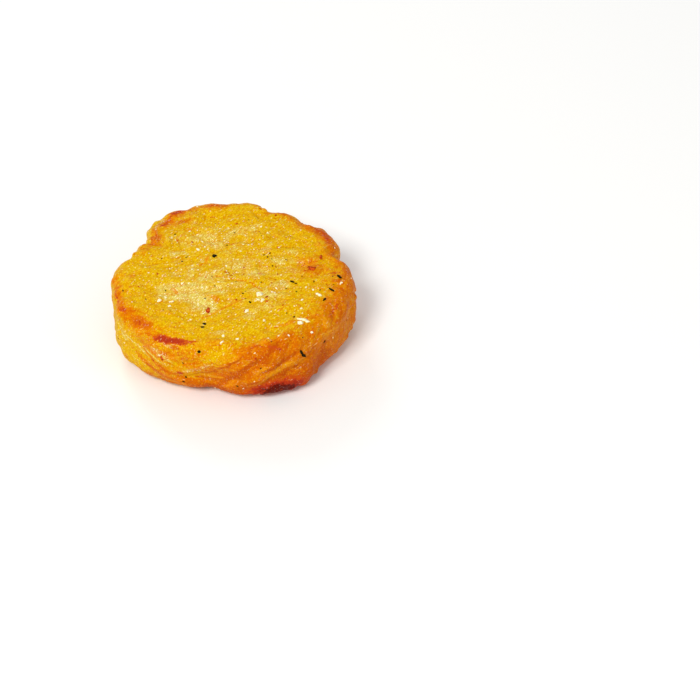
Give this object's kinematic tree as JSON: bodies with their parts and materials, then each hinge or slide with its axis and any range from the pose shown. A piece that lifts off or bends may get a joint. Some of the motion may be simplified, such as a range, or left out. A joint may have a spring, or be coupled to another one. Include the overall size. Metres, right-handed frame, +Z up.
{
  "type": "potato rosti",
  "caption": "Thick round of pressed grated potato, fried golden, with an uneven rim, low shred ridges on both faces, a few scraps of herb and a flat-lying underside.",
  "frame": {"origin": "middle of the underside, on the surface that the rosti lies on", "axes": "+Z up out of the top face, -Y towards the side with the browned streak under the rim"},
  "size_m": [0.0604, 0.0604, 0.0178],
  "materials": {
    "fried_potato": "golden fried crust, slightly oily, browner at the rim"
  },
  "bodies": {
    "root": {"rosti": "fried_potato"}
  },
  "joints": []
}
